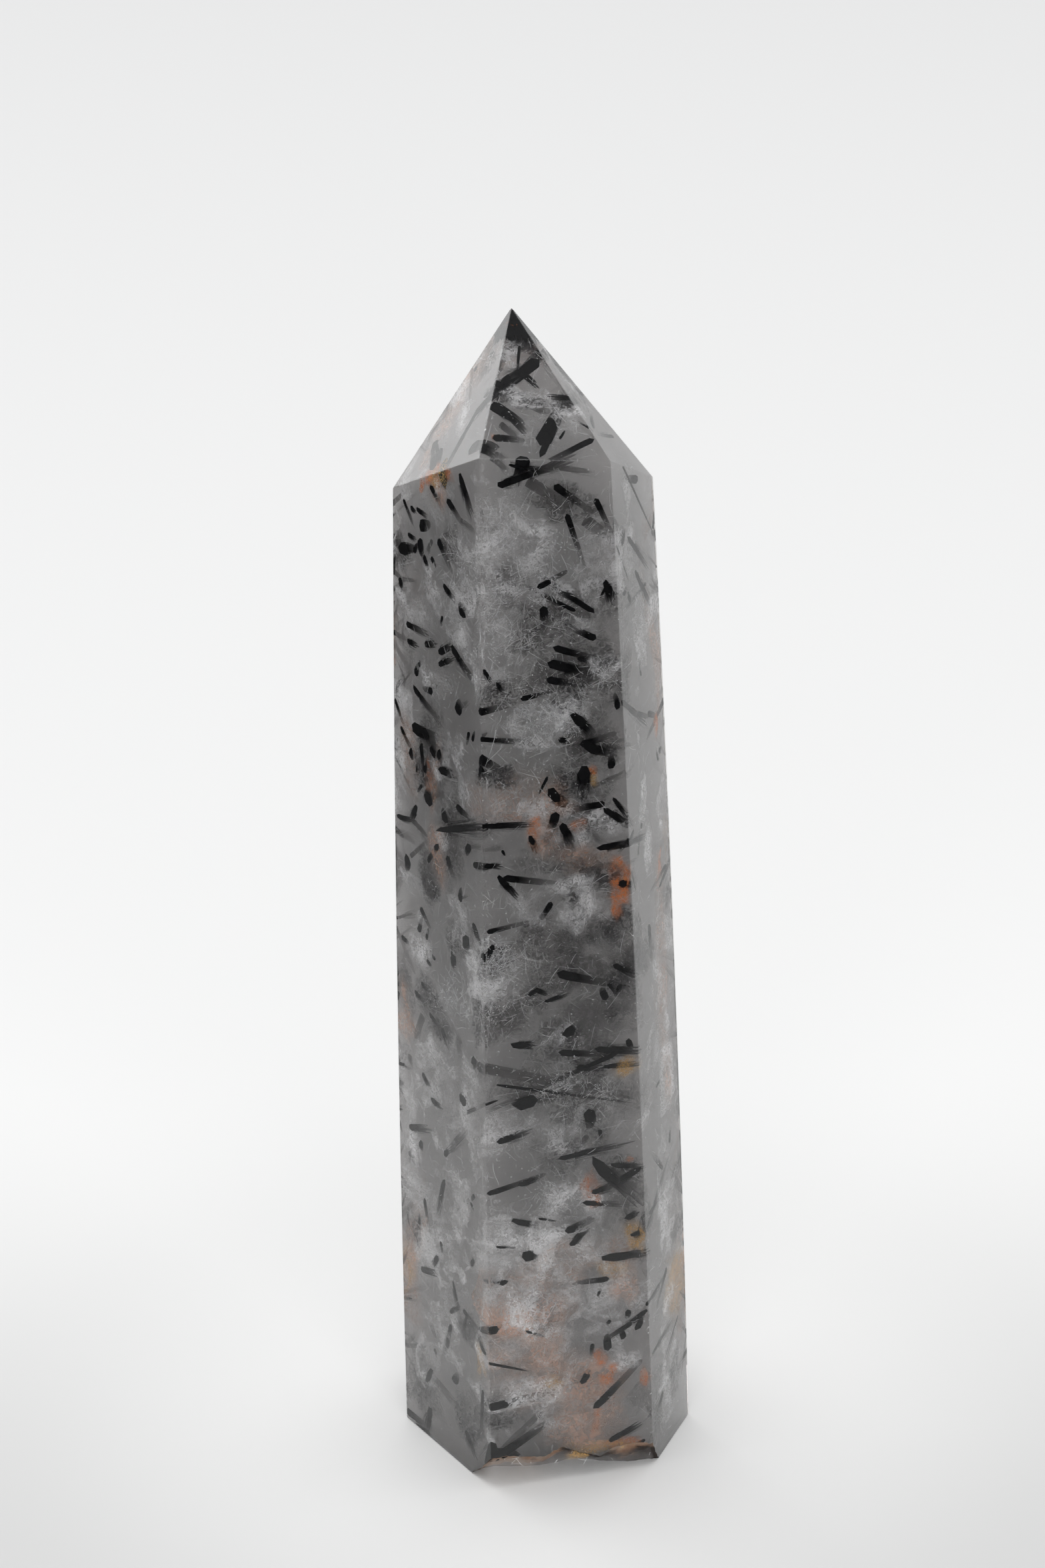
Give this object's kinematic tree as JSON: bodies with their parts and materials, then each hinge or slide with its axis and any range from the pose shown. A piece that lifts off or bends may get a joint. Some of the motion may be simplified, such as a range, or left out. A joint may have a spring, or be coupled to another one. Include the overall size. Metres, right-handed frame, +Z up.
{
  "type": "tourmalinated quartz tower",
  "caption": "Polished six-sided point of cloudy grey quartz with black tourmaline needles through it, standing on a flat sawn base.",
  "frame": {"origin": "under the middle of the tower, on the sawn base that it stands on", "axes": "+Z up along the tower to its tip; -Y is the face seen first; +X is to the right of someone who looks along +Y"},
  "size_m": [0.0228, 0.0209, 0.0947],
  "materials": {
    "quartz": "polished, cloudy grey",
    "tourmaline": "black, glossy where cut flush"
  },
  "bodies": {
    "root": {"quartz": "quartz", "tourmaline_tip": "tourmaline", "tourmaline_base_corner": "tourmaline", "tourmaline_point_front_1": "tourmaline", "tourmaline_point_front_2": "tourmaline", "tourmaline_point_front_3": "tourmaline", "tourmaline_point_front_4": "tourmaline", "tourmaline_point_front_5": "tourmaline", "tourmaline_point_left_1": "tourmaline", "tourmaline_front_1": "tourmaline", "tourmaline_front_2": "tourmaline", "tourmaline_front_3": "tourmaline", "tourmaline_front_4": "tourmaline", "tourmaline_front_5": "tourmaline", "tourmaline_front_6": "tourmaline", "tourmaline_front_7": "tourmaline", "tourmaline_front_8": "tourmaline", "tourmaline_front_9": "tourmaline", "tourmaline_front_10": "tourmaline", "tourmaline_front_11": "tourmaline", "tourmaline_front_12": "tourmaline", "tourmaline_front_13": "tourmaline", "tourmaline_front_14": "tourmaline", "tourmaline_front_15": "tourmaline", "tourmaline_front_16": "tourmaline", "tourmaline_front_17": "tourmaline", "tourmaline_front_18": "tourmaline", "tourmaline_front_19": "tourmaline", "tourmaline_front_20": "tourmaline", "tourmaline_front_21": "tourmaline", "tourmaline_front_22": "tourmaline", "tourmaline_left_1": "tourmaline", "tourmaline_left_2": "tourmaline", "tourmaline_left_3": "tourmaline", "tourmaline_left_4": "tourmaline", "tourmaline_left_5": "tourmaline", "tourmaline_left_6": "tourmaline", "tourmaline_left_7": "tourmaline", "tourmaline_left_8": "tourmaline", "tourmaline_right_1": "tourmaline", "tourmaline_right_2": "tourmaline", "tourmaline_right_3": "tourmaline", "tourmaline_backRight_1": "tourmaline", "tourmaline_backRight_2": "tourmaline", "tourmaline_backRight_3": "tourmaline", "tourmaline_back_1": "tourmaline", "tourmaline_back_2": "tourmaline", "tourmaline_back_3": "tourmaline", "tourmaline_back_4": "tourmaline", "tourmaline_backLeft_1": "tourmaline", "tourmaline_backLeft_2": "tourmaline", "tourmaline_backLeft_3": "tourmaline"}
  },
  "joints": []
}
